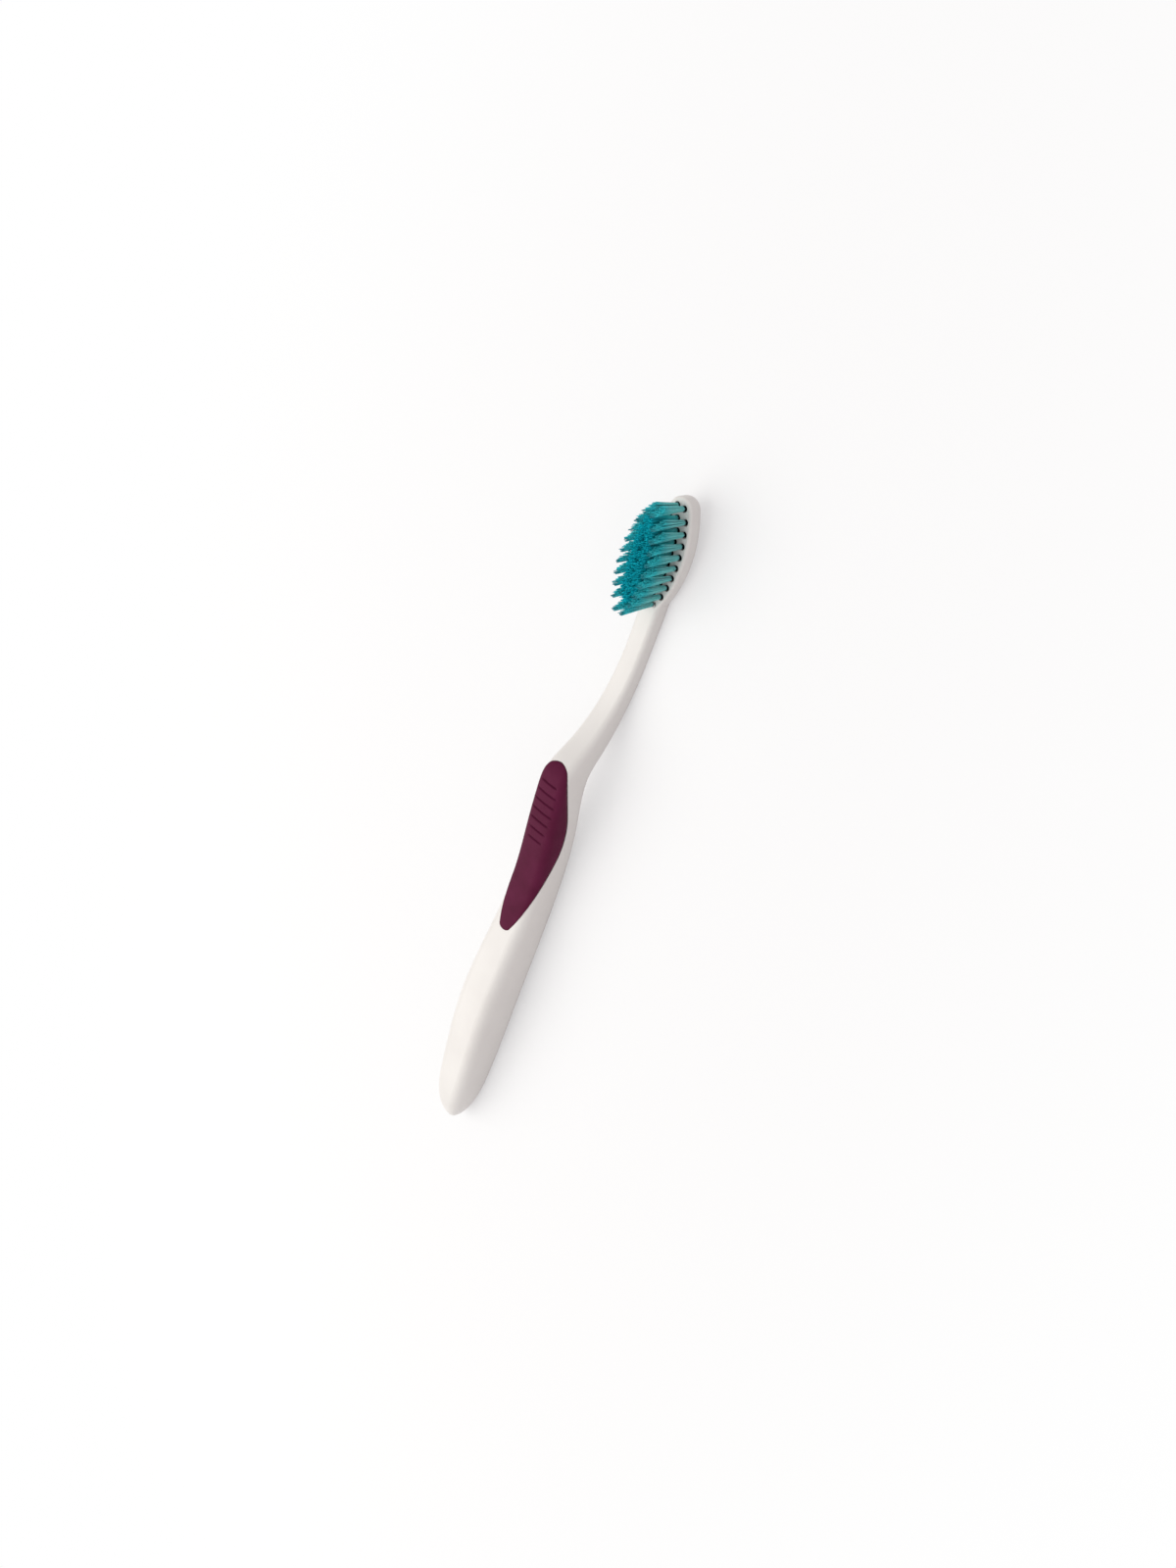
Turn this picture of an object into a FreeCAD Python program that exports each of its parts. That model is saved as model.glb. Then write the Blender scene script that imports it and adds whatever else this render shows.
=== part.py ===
import FreeCAD, Part
import math
import os

import Sketcher

# Manual toothbrush: a one-piece handle with neck and head, a soft thumb grip moulded into its front,
# bristle tufts set in blind holes, and the metal anchors that hold them.
# Frame: the brush lies on its back, +X towards the head, +Z out of the bristle side, origin under its middle.

# Driving sizes in millimetres and degrees. Each cross-section of the handle has a step from the section
# before it, a width, a thickness, the height of its middle and the radius of its rounded corners.
SIZES = {
    # sections of the handle, from the tail to the head
    "tail_end_width": 1.8, "tail_end_thick": 2.0, "tail_end_height": 3.6, "tail_end_corner": 0.8,
    "tail_nose_step": 2.5, "tail_nose_width": 5.4, "tail_nose_thick": 5.9, "tail_nose_height": 4.2,
    "tail_nose_corner": 2.1,
    "tail_turn_step": 5.5, "tail_turn_width": 8.9, "tail_turn_thick": 9.8, "tail_turn_height": 5.0,
    "tail_turn_corner": 2.8,
    "tail_step": 12.0, "tail_width": 11.1, "tail_thick": 12.4, "tail_height": 6.0, "tail_corner": 2.9,
    "belly_step": 26.0, "belly_width": 12.3, "belly_thick": 13.8, "belly_height": 7.75, "belly_corner": 3.1,
    "grip_foot_step": 22.0, "grip_foot_width": 11.0, "grip_foot_thick": 12.4, "grip_foot_height": 6.8,
    "grip_foot_corner": 2.8,
    "waist_step": 16.0, "waist_width": 10.1, "waist_thick": 11.4, "waist_height": 6.6, "waist_corner": 2.6,
    "grip_mid_step": 16.0, "grip_mid_width": 9.9, "grip_mid_thick": 11.2, "grip_mid_height": 8.75,
    "grip_mid_corner": 2.5,
    "grip_head_step": 11.0, "grip_head_width": 9.0, "grip_head_thick": 10.3, "grip_head_height": 10.85,
    "grip_head_corner": 2.2,
    "shoulder_step": 6.0, "shoulder_width": 8.5, "shoulder_thick": 9.9, "shoulder_height": 11.0,
    "shoulder_corner": 2.1,
    "slope_step": 6.0, "slope_width": 7.5, "slope_thick": 8.5, "slope_height": 8.15, "slope_corner": 1.8,
    "neck_foot_step": 9.0, "neck_foot_width": 6.4, "neck_foot_thick": 6.4, "neck_foot_height": 4.4,
    "neck_foot_corner": 1.4,
    "neck_step": 12.0, "neck_width": 5.8, "neck_thick": 5.0, "neck_height": 2.3, "neck_corner": 1.1,
    "neck_top_step": 9.0, "neck_top_width": 5.7, "neck_top_thick": 4.7, "neck_top_height": 2.15,
    "neck_top_corner": 1.1,
    "head_root_step": 9.0, "head_root_width": 5.8, "head_root_thick": 4.8, "head_root_height": 2.5,
    "head_root_corner": 1.1,
    "root_end_step": 7.0, "root_end_width": 4.8, "root_end_thick": 3.0, "root_end_corner": 1.0,
    # head plate and its lean against the handle
    "head_lean": 5.3, "root_to_head": 13.8, "head_thick": 4.3, "head_end_margin": 1.9,
    "head_rim_margin": 0.85, "head_tip_radius": 3.4, "head_blend_radius": 6.0, "head_root_reach": 16.0,
    "head_root_inset": 0.5, "head_front_round": 0.6, "head_back_round": 1.6,
    # tuft field: lines across the head, counted from the neck
    "tuft_pitch": 2.7, "field_half_width": 4.0, "field_shift": 0.5, "hole_diameter": 1.6, "hole_depth": 3.0,
    # tufts and anchors
    "tuft_clearance": 0.03, "tuft_tip_radius": 0.98, "outer_length": 11.4, "inner_length": 10.6,
    "chisel_angle": 62.0, "chisel_land": 0.25,
    "anchor_width": 1.9, "anchor_height": 1.4, "anchor_thick": 0.25, "anchor_lift": 0.5,
    # thumb grip: on each side its border is a smooth curve in a slanted plane, dipping over the flank
    "grip_proud": 0.25, "grip_depth": 1.6, "grip_wall_slant": 45.0, "grip_top_reach": 3.0,
    "grip_top_drop": 0.5, "grip_top_radius": 2.6, "grip_foot_inset": 0.7, "grip_foot_radius": 1.45,
    "grip_side_radius": 100.0, "lobe_radius": 32.3, "lobe_from_waist": 11.7, "lobe_rise": 1.28,
    "border_floor": 7.2,
    "groove_width": 0.45, "groove_depth": 0.35, "groove_pitch": 2.82, "groove_length": 7.4,
    "groove_from_shoulder": 3.0,
    # how far cutting tools run past what they cut
    "overrun": 6.0,
}
# Cross-sections in order, and those thick enough for the grip's core.
SECTIONS = ("tail_end", "tail_nose", "tail_turn", "tail", "belly", "grip_foot", "waist", "grip_mid",
            "grip_head", "shoulder", "slope", "neck_foot", "neck", "neck_top", "head_root", "root_end")
CORE_SECTIONS = SECTIONS[SECTIONS.index("tail_turn"):SECTIONS.index("neck_top") + 1]
# Radius of the crowned front and of the bowed flanks, as shares of the section's width.
CROWN_SHARE = 2.0
BOW_SHARE = 2.5
# Tufts in each line across the head, and the reach of the outermost ones as shares of the field's half width.
TUFTS_IN_LINE = (2, 3, 4, 4, 4, 4, 4, 4, 3, 2)
LINE_REACH_SHARES = (0.28, 0.64, 0.82, 0.94, 1.0, 1.0, 0.94, 0.82, 0.64, 0.28)
MIDDLE_LINE = (len(TUFTS_IN_LINE) - 1) / 2
# Lengths of the grip's grooves from the shoulder down, as shares of the longest.
GROOVE_LENGTH_SHARES = (0.75, 0.95, 1.0, 1.0, 0.9, 0.8, 0.7)

# How near, in millimetres, an edge lies to a plane that it is taken to lie in.
TOUCHING = 1e-5
# Numbers of points and axes in sketches.
ORIGIN, START, END, CENTRE = (-1, 1), 1, 2, 3
H_AXIS, V_AXIS = -1, -2

doc = FreeCAD.newDocument("toothbrush")
sheet = doc.addObject("Spreadsheet::Sheet", "sizes")
for row, (alias, number) in enumerate(SIZES.items(), start=1):
    sheet.set(f"A{row}", alias)
    sheet.set(f"B{row}", str(number))
    sheet.setAlias(f"B{row}", alias)
doc.recompute()


# Expressions

def size(name):
    """The sheet's cell of that name, as an expression."""
    return f"sizes.{name}"


def value(name):
    """The number in the sheet's cell of that name."""
    return float(sheet.get(name))


def along(section):
    """A section's distance from the tail end, as an expression."""
    steps = [size(f"{name}_step") for name in SECTIONS[1:SECTIONS.index(section) + 1]]
    return f"({' + '.join(steps)})" if steps else "0"


LEAN_COS = "cos(sizes.head_lean * 1deg)"
LEAN_SIN = "sin(sizes.head_lean * 1deg)"
HEAD_HALF_LENGTH = f"({MIDDLE_LINE} * sizes.tuft_pitch + sizes.head_end_margin)"
HEAD_HALF_WIDTH = "(sizes.field_half_width + sizes.hole_diameter / 2 + sizes.head_rim_margin)"
# from the middle of the head's face to the furthest point of its tip, along X
HEAD_REACH = (f"(({HEAD_HALF_LENGTH} - sizes.head_back_round) * {LEAN_COS}"
              f" + (sizes.head_thick - sizes.head_back_round) * {LEAN_SIN} + sizes.head_back_round)")
TOTAL_LENGTH = f"({along('head_root')} + sizes.root_to_head + {HEAD_REACH})"
TAIL_X = f"(-{TOTAL_LENGTH} / 2)"
# the middle of the head's face: the plate's middle plane runs through the middle of the root section
HEAD_X = f"({TAIL_X} + {along('head_root')} + sizes.root_to_head)"
HEAD_Z = (f"(sizes.head_root_height + sizes.head_thick / 2 * {LEAN_COS} + (sizes.root_to_head"
          f" + sizes.head_thick / 2 * {LEAN_SIN}) * {LEAN_SIN} / {LEAN_COS})")
ROOT_END_HEIGHT = f"(sizes.head_root_height + sizes.root_end_step * {LEAN_SIN} / {LEAN_COS})"


def height_of(section):
    """The height of a section's middle, as an expression; the last one lies inside the leaning head."""
    return ROOT_END_HEIGHT if section == "root_end" else size(f"{section}_height")


def on_head(along_head, across, out="0"):
    """The X, Y and Z, as expressions, of a point given along, across and out of the head's face."""
    return (f"{HEAD_X} + ({along_head}) * {LEAN_COS} - ({out}) * {LEAN_SIN}", across,
            f"{HEAD_Z} + ({along_head}) * {LEAN_SIN} + ({out}) * {LEAN_COS}")


def bind(item, **sizes):
    """Binds properties of an object to expressions."""
    for prop, expression in sizes.items():
        item.setExpression(prop, expression)


def bind_place(item, prop, place, turn="0", axis=(0, 1, 0)):
    """Binds a placement to three expressions and a turn in degrees, about Y unless another axis is given."""
    setattr(item, prop, FreeCAD.Placement(FreeCAD.Vector(), FreeCAD.Rotation(FreeCAD.Vector(*axis), 1)))
    for letter, expression in zip("xyz", place):
        item.setExpression(f"{prop}.Base.{letter}", f"({expression}) * 1mm")
    item.setExpression(f"{prop}.Rotation.Angle", f"({turn}) * 1deg")


# Sketches

def new_body(name):
    """An empty body."""
    return doc.addObject("PartDesign::Body", name)


def new_sketch(body, name, plane):
    """A sketch on one of the body's own origin planes."""
    sketch = body.newObject("Sketcher::SketchObject", name)
    support = next(item for item in body.Origin.OriginFeatures if item.Role == plane)
    sketch.AttachmentSupport = [(support, "")]
    sketch.MapMode = "FlatFace"
    return sketch


def dimension(sketch, kind, expression, *where):
    """A dimension that follows an expression."""
    measured = sketch.evalExpression(expression)
    index = sketch.addConstraint(Sketcher.Constraint(kind, *where, float(measured)))
    sketch.setExpression(f"Constraints[{index}]", expression)


def constrain(sketch, kind, *where):
    """A geometric constraint."""
    sketch.addConstraint(Sketcher.Constraint(kind, *where))


def arc(centre_x, centre_y, radius, start, end):
    """An arc from one angle to another, anticlockwise."""
    circle = Part.Circle(FreeCAD.Vector(centre_x, centre_y, 0), FreeCAD.Vector(0, 0, 1), radius)
    return Part.ArcOfCircle(circle, start, end)


def line(start, end):
    """A straight edge between two points of a sketch."""
    return Part.LineSegment(FreeCAD.Vector(*start, 0), FreeCAD.Vector(*end, 0))


def meeting(first, first_radius, second, second_radius):
    """The point, on the side of growing coordinates, at the two given distances from two centres."""
    span = math.dist(first, second)
    reach = (span ** 2 + first_radius ** 2 - second_radius ** 2) / (2 * span)
    rise = math.sqrt(first_radius ** 2 - reach ** 2)
    step = ((second[0] - first[0]) / span, (second[1] - first[1]) / span)
    middle = (first[0] + reach * step[0], first[1] + reach * step[1])
    sides = [(middle[0] - side * rise * step[1], middle[1] + side * rise * step[0]) for side in (1, -1)]
    return max(sides, key=sum)


def section_sketch(body, section, inset):
    """A cross-section of eight tangent arcs, drawn in by an inset: crowned faces, bowed flanks, corners."""
    sketch = new_sketch(body, f"{body.Name}_{section}", "YZ_Plane")
    bind_place(sketch, "AttachmentOffset", ("0", height_of(section), f"{TAIL_X} + {along(section)}"))
    half_width = f"({size(section + '_width')} / 2 - ({inset}))"
    half_thick = f"({size(section + '_thick')} / 2 - ({inset}))"
    corner_radius = f"({size(section + '_corner')} * {half_width} * 2 / {size(section + '_width')})"
    crown_radius = f"({size(section + '_width')} * {CROWN_SHARE} - ({inset}))"
    bow_radius = f"({size(section + '_width')} * {BOW_SHARE} - ({inset}))"
    wide, thick, corner, crown, bow = (
        float(sketch.evalExpression(text))
        for text in (half_width, half_thick, corner_radius, crown_radius, bow_radius))
    crown_y, bow_x = thick - crown, wide - bow
    corner_x, corner_y = meeting((0, crown_y), crown - corner, (bow_x, 0), bow - corner)
    low = math.atan2(corner_y, corner_x - bow_x)
    high = math.atan2(corner_y - crown_y, corner_x)
    right, front, left, back = 0, math.pi / 2, math.pi, 1.5 * math.pi
    tilt = front - high
    sketch.addGeometry([
        arc(bow_x, 0, bow, right - low, right + low),
        arc(corner_x, corner_y, corner, low, high),
        arc(0, crown_y, crown, front - tilt, front + tilt),
        arc(-corner_x, corner_y, corner, front + tilt, left - low),
        arc(-bow_x, 0, bow, left - low, left + low),
        arc(-corner_x, -corner_y, corner, left + low, back - tilt),
        arc(0, -crown_y, crown, back - tilt, back + tilt),
        arc(corner_x, -corner_y, corner, back + tilt, 2 * math.pi - low),
    ])
    flank, corner_arc, face, far_corner, far_flank, low_far_corner, rear, low_corner = range(8)
    for first in range(8):
        constrain(sketch, "Tangent", first, END, (first + 1) % 8, START)
    for item in (face, rear):
        constrain(sketch, "PointOnObject", item, CENTRE, V_AXIS)
    for item in (flank, far_flank):
        constrain(sketch, "PointOnObject", item, CENTRE, H_AXIS)
    for other in (far_corner, low_far_corner, low_corner):
        constrain(sketch, "Equal", corner_arc, other)
    constrain(sketch, "Equal", face, rear)
    constrain(sketch, "Equal", flank, far_flank)
    dimension(sketch, "Radius", bow_radius, flank)
    dimension(sketch, "Radius", corner_radius, corner_arc)
    dimension(sketch, "Radius", crown_radius, face)
    dimension(sketch, "DistanceY", f"{crown_radius} - {half_thick}", face, CENTRE, *ORIGIN)
    dimension(sketch, "DistanceY", f"{crown_radius} - {half_thick}", *ORIGIN, rear, CENTRE)
    dimension(sketch, "DistanceX", f"{bow_radius} - {half_width}", flank, CENTRE, *ORIGIN)
    dimension(sketch, "DistanceX", f"{bow_radius} - {half_width}", *ORIGIN, far_flank, CENTRE)
    return sketch


def add_loft(body, sections, inset="0"):
    """A smooth skin through cross-sections, added to the body."""
    sketches = [section_sketch(body, section, inset) for section in sections]
    loft = body.newObject("PartDesign::AdditiveLoft", f"{body.Name}_loft")
    loft.Profile = sketches[0]
    loft.Sections = [(sketch, [""]) for sketch in sketches[1:]]
    loft.Ruled = False
    doc.recompute()
    return loft


# Head plate

def head_outline(body):
    """The oval of the head, blended into the straight sides of its root, on the face of the leaning head."""
    sketch = new_sketch(body, "head_outline", "XY_Plane")
    bind_place(sketch, "AttachmentOffset", on_head("0", "0"), "-sizes.head_lean")
    root_half = "(sizes.head_root_width / 2 - sizes.head_root_inset)"
    long, wide, root = (
        float(sketch.evalExpression(text)) for text in (HEAD_HALF_LENGTH, HEAD_HALF_WIDTH, root_half))
    tip, blend, reach = value("head_tip_radius"), value("head_blend_radius"), value("head_root_reach")
    tip_x = long - tip
    side = (tip_x ** 2 + wide ** 2 - tip ** 2) / (2 * (wide - tip))
    side_y = wide - side
    blend_y = root + blend
    blend_x = -math.sqrt((side + blend) ** 2 - (blend_y - side_y) ** 2)
    at_tip = math.atan2(-side_y, tip_x)
    at_blend = math.atan2(blend_y - side_y, blend_x)
    sketch.addGeometry([
        arc(tip_x, 0, tip, -at_tip, at_tip),
        arc(0, side_y, side, at_tip, at_blend),
        arc(0, -side_y, side, -at_blend, -at_tip),
        arc(blend_x, blend_y, blend, -math.pi / 2, at_blend - math.pi),
        arc(blend_x, -blend_y, blend, math.pi - at_blend, math.pi / 2),
        line((blend_x, root), (-reach, root)),
        line((blend_x, -root), (-reach, -root)),
        line((-reach, root), (-reach, -root)),
    ])
    nose, upper, lower, upper_blend, lower_blend, upper_root, lower_root, end = range(8)
    constrain(sketch, "Tangent", nose, END, upper, START)
    constrain(sketch, "Tangent", nose, START, lower, END)
    constrain(sketch, "Tangent", upper, END, upper_blend, END)
    constrain(sketch, "Tangent", lower, START, lower_blend, START)
    constrain(sketch, "Tangent", upper_blend, START, upper_root, START)
    constrain(sketch, "Tangent", lower_blend, END, lower_root, START)
    constrain(sketch, "Coincident", upper_root, END, end, START)
    constrain(sketch, "Coincident", lower_root, END, end, END)
    constrain(sketch, "PointOnObject", nose, CENTRE, H_AXIS)
    constrain(sketch, "PointOnObject", upper, CENTRE, V_AXIS)
    constrain(sketch, "PointOnObject", lower, CENTRE, V_AXIS)
    constrain(sketch, "Equal", upper, lower)
    constrain(sketch, "Equal", upper_blend, lower_blend)
    constrain(sketch, "Horizontal", upper_root)
    constrain(sketch, "Horizontal", lower_root)
    constrain(sketch, "Vertical", end)
    widest = sketch.addGeometry(Part.Point(FreeCAD.Vector(0, wide, 0)), True)
    constrain(sketch, "PointOnObject", widest, START, upper)
    constrain(sketch, "PointOnObject", widest, START, V_AXIS)
    dimension(sketch, "DistanceY", HEAD_HALF_WIDTH, *ORIGIN, widest, START)
    dimension(sketch, "Radius", size("head_tip_radius"), nose)
    dimension(sketch, "DistanceX", f"{HEAD_HALF_LENGTH} - sizes.head_tip_radius", *ORIGIN, nose, CENTRE)
    dimension(sketch, "Radius", size("head_blend_radius"), upper_blend)
    dimension(sketch, "DistanceY", root_half, *ORIGIN, upper_root, END)
    dimension(sketch, "DistanceY", root_half, lower_root, END, *ORIGIN)
    dimension(sketch, "DistanceX", size("head_root_reach"), end, START, *ORIGIN)
    return sketch


def rim_edges(feature, sketch, depth):
    """Names of a plate's outline edges at a depth below its sketch, without the straight end at its root."""
    to_sketch = sketch.Placement.inverse()
    names = []
    for number, edge in enumerate(feature.Shape.Edges, start=1):
        points = [to_sketch.multVec(point) for point in edge.discretize(3)]
        level = all(abs(point.z + depth) < TOUCHING for point in points)
        crosses_root = points[0].y * points[-1].y < 0 and abs(points[0].x - points[-1].x) < abs(points[0].y)
        if level and not (crosses_root and points[1].x < 0):
            names.append(f"Edge{number}")
    return names


def add_head(body):
    """The head plate, its back rim rounder than its front rim."""
    sketch = head_outline(body)
    plate = body.newObject("PartDesign::Pad", "head_plate")
    plate.Profile = sketch
    plate.Reversed = True
    bind(plate, Length="sizes.head_thick * 1mm")
    doc.recompute()
    front = body.newObject("PartDesign::Fillet", "head_front_rim")
    front.Base = (plate, rim_edges(plate, sketch, 0))
    bind(front, Radius="sizes.head_front_round * 1mm")
    doc.recompute()
    back = body.newObject("PartDesign::Fillet", "head_back_rim")
    back.Base = (front, rim_edges(front, sketch, value("head_thick")))
    bind(back, Radius="sizes.head_back_round * 1mm")
    doc.recompute()


def tuft_places():
    """Every tuft: its line, its number across, whether it is an outer one, and its place on the face."""
    for number, (count, reach_share) in enumerate(zip(TUFTS_IN_LINE, LINE_REACH_SHARES)):
        along_head = f"{number - MIDDLE_LINE} * sizes.tuft_pitch - sizes.field_shift"
        for index in range(count):
            side_share = 2 * index / (count - 1) - 1
            across = f"{side_share * reach_share} * sizes.field_half_width"
            outer = abs(side_share) == 1
            yield number + 1, index + 1, outer, along_head, across


def add_tuft_holes(body):
    """Blind holes for the tufts, square to the head's face."""
    sketch = new_sketch(body, "tuft_holes", "XY_Plane")
    bind_place(sketch, "AttachmentOffset", on_head("-sizes.field_shift", "0"), "-sizes.head_lean")
    for _, _, _, along_head, across in tuft_places():
        from_middle = f"{along_head} + sizes.field_shift"
        x, y = (float(sketch.evalExpression(text)) for text in (from_middle, across))
        radius = value("hole_diameter") / 2
        centre = FreeCAD.Vector(x, y, 0)
        hole = sketch.addGeometry(Part.Circle(centre, FreeCAD.Vector(0, 0, 1), radius))
        dimension(sketch, "Diameter", size("hole_diameter"), hole)
        directions = (("DistanceX", x, from_middle, V_AXIS), ("DistanceY", y, across, H_AXIS))
        for kind, place, text, axis in directions:
            if place > 0:
                dimension(sketch, kind, text, *ORIGIN, hole, CENTRE)
            elif place < 0:
                dimension(sketch, kind, f"-({text})", hole, CENTRE, *ORIGIN)
            else:
                constrain(sketch, "PointOnObject", hole, CENTRE, axis)
    holes = body.newObject("PartDesign::Pocket", "tuft_hole_pocket")
    holes.Profile = sketch
    bind(holes, Length="sizes.hole_depth * 1mm")
    doc.recompute()


def add_rest_flats(body):
    """Trims the back level where the brush lies on a table, at the tail and under the neck."""
    sketch = new_sketch(body, "rest_plane", "XY_Plane")
    half_long = f"({TOTAL_LENGTH} / 2 + sizes.overrun)"
    half_wide = "(sizes.belly_width / 2 + sizes.overrun)"
    x, y = (float(sketch.evalExpression(text)) for text in (half_long, half_wide))
    corners = [(-x, -y), (x, -y), (x, y), (-x, y)]
    sketch.addGeometry([line(corners[i], corners[(i + 1) % 4]) for i in range(4)])
    for i in range(4):
        constrain(sketch, "Coincident", i, END, (i + 1) % 4, START)
        constrain(sketch, "Horizontal" if i % 2 == 0 else "Vertical", i)
    dimension(sketch, "DistanceX", half_long, 0, START, *ORIGIN)
    dimension(sketch, "DistanceY", half_wide, 0, START, *ORIGIN)
    dimension(sketch, "DistanceX", half_long, *ORIGIN, 2, START)
    dimension(sketch, "DistanceY", half_wide, *ORIGIN, 2, START)
    trim = body.newObject("PartDesign::Pocket", "rest_trim")
    trim.Profile = sketch
    trim.Type = "ThroughAll"
    doc.recompute()


def make_handle_blank():
    """Head plate, neck and handle as one moulding, before the grip's pocket is taken out."""
    body = new_body("handle_blank")
    add_head(body)
    add_loft(body, SECTIONS)
    add_rest_flats(body)
    add_tuft_holes(body)
    return body


# Booleans

def boolean(kind, name, base, tool):
    """One solid joined with, cut by or kept inside another."""
    result = doc.addObject(f"Part::{kind}", name)
    result.Base = base
    result.Tool = tool
    return result


# Thumb grip

SLANT_COS = "cos(sizes.grip_wall_slant * 1deg)"
SLANT_SIN = "sin(sizes.grip_wall_slant * 1deg)"
GRIP_TOP = f"({along('shoulder')} + sizes.grip_top_reach)"
GRIP_FOOT = f"({along('grip_foot')} + sizes.grip_foot_inset)"


def front_level(section):
    """The level of a section's front in the slanted plane of the grip's border, as an expression."""
    return f"(({size(section + '_height')} + {size(section + '_thick')} / 2) * {SLANT_SIN})"


def grip_side():
    """What lies inside the grip's border on one side: tangent curves that dip over the flank."""
    body = new_body("grip_side")
    sketch = new_sketch(body, "grip_side_border", "XY_Plane")
    bind_place(sketch, "AttachmentOffset", (TAIL_X, "0", "0"), "sizes.grip_wall_slant", (1, 0, 0))
    foot_level, top_level = front_level("grip_foot"), f"({front_level('shoulder')} - sizes.grip_top_drop)"
    lobe_along = f"({along('waist')} + sizes.lobe_from_waist)"
    lobe_level = (f"(sizes.waist_height * {SLANT_SIN} - sizes.waist_width / 2 * {SLANT_COS}"
                  " + sizes.lobe_rise + sizes.lobe_radius)")
    open_level = "(sizes.shoulder_height + sizes.shoulder_thick + sizes.overrun)"
    foot_x, foot_y, top_x, top_y, lobe_x, lobe_y, open_y = (
        float(sketch.evalExpression(text))
        for text in (GRIP_FOOT, foot_level, GRIP_TOP, top_level, lobe_along, lobe_level, open_level))
    foot_radius, top_radius = value("grip_foot_radius"), value("grip_top_radius")
    side_radius, lobe_radius = value("grip_side_radius"), value("lobe_radius")
    foot, top, lobe = (foot_x + foot_radius, foot_y), (top_x - top_radius, top_y), (lobe_x, lobe_y)
    side = meeting(foot, side_radius - foot_radius, lobe, side_radius - lobe_radius)
    at_foot = math.atan2(foot[1] - side[1], foot[0] - side[0])
    at_lobe = math.atan2(lobe[1] - side[1], lobe[0] - side[0])
    climb = math.asin((lobe_radius - top_radius) / math.dist(lobe, top))
    at_rise = math.atan2(top[1] - lobe[1], top[0] - lobe[0]) + climb - math.pi / 2
    rise_start, rise_end = (
        (centre[0] + radius * math.cos(at_rise), centre[1] + radius * math.sin(at_rise))
        for centre, radius in ((lobe, lobe_radius), (top, top_radius)))
    sketch.addGeometry([
        line((foot_x, open_y), (foot_x, foot_y)),
        arc(*foot, foot_radius, -math.pi, at_foot),
        arc(*side, side_radius, at_foot, at_lobe),
        arc(*lobe, lobe_radius, at_lobe, at_rise),
        line(rise_start, rise_end),
        arc(*top, top_radius, at_rise, 0),
        line((top_x, top_y), (top_x, open_y)),
        line((top_x, open_y), (foot_x, open_y)),
    ])
    foot_end, foot_corner, flank, dip, rise, top_corner, top_end, opening = range(8)
    for first in (foot_end, foot_corner, flank, dip, rise, top_corner):
        constrain(sketch, "Tangent", first, END, first + 1, START)
    constrain(sketch, "Coincident", top_end, END, opening, START)
    constrain(sketch, "Coincident", opening, END, foot_end, START)
    constrain(sketch, "Vertical", foot_end)
    constrain(sketch, "Vertical", top_end)
    constrain(sketch, "Horizontal", opening)
    dimension(sketch, "Radius", size("grip_foot_radius"), foot_corner)
    dimension(sketch, "Radius", size("grip_side_radius"), flank)
    dimension(sketch, "Radius", size("lobe_radius"), dip)
    dimension(sketch, "Radius", size("grip_top_radius"), top_corner)
    dimension(sketch, "DistanceX", GRIP_FOOT, *ORIGIN, foot_end, START)
    dimension(sketch, "DistanceY", foot_level, *ORIGIN, foot_corner, CENTRE)
    dimension(sketch, "DistanceX", lobe_along, *ORIGIN, dip, CENTRE)
    dimension(sketch, "DistanceY", lobe_level, *ORIGIN, dip, CENTRE)
    dimension(sketch, "DistanceX", GRIP_TOP, *ORIGIN, top_end, START)
    dimension(sketch, "DistanceY", top_level, *ORIGIN, top_corner, CENTRE)
    dimension(sketch, "DistanceY", open_level, *ORIGIN, opening, START)
    prism = body.newObject("PartDesign::Pad", "grip_side_prism")
    prism.Profile = sketch
    prism.SideType = "Symmetric"
    bind(prism, Length=f"2 * {open_level} * 1mm")
    doc.recompute()
    return body


def grip_border():
    """What lies inside the grip's border on both sides, in front of the plane of its floor."""
    near = grip_side()
    far = doc.addObject("Part::Mirroring", "grip_far_side")
    far.Source = near
    far.Normal = FreeCAD.Vector(0, 1, 0)
    front = doc.addObject("Part::Box", "grip_front")
    bind(front, Length=f"{TOTAL_LENGTH} * 1mm", Width="(sizes.belly_width + 2 * sizes.overrun) * 1mm",
         Height="(sizes.shoulder_height + sizes.shoulder_thick) * 1mm")
    bind_place(front, "Placement", (TAIL_X, "-sizes.belly_width / 2 - sizes.overrun", "sizes.border_floor"))
    both = boolean("Common", "grip_both_sides", near, far)
    return boolean("Common", "grip_border", both, front)


def grip_layer(name, sections, inset):
    """The handle's form through some sections, drawn in by an inset, or let out by a negative one."""
    body = new_body(name)
    add_loft(body, sections, inset)
    return body


def make_grooves():
    """Fine cross grooves of even depth in the grip's front."""
    slabs = []
    for number, length_share in enumerate(GROOVE_LENGTH_SHARES):
        slab = doc.addObject("Part::Box", f"groove_{number + 1}")
        length = f"sizes.groove_length * {length_share}"
        bind(slab, Length="sizes.groove_width * 1mm", Width=f"{length} * 1mm",
             Height="(sizes.shoulder_thick + sizes.overrun) * 1mm")
        middle = f"{along('shoulder')} - sizes.groove_from_shoulder - {number} * sizes.groove_pitch"
        place = (f"{TAIL_X} + {middle} - sizes.groove_width / 2", f"-{length} / 2", "sizes.shoulder_height")
        bind_place(slab, "Placement", place)
        slabs.append(slab)
    group = doc.addObject("Part::Compound", "groove_slabs")
    group.Links = slabs
    floor = grip_layer("groove_floor", SECTIONS, "sizes.groove_depth - sizes.grip_proud")
    return boolean("Cut", "grooves", group, floor)


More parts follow.
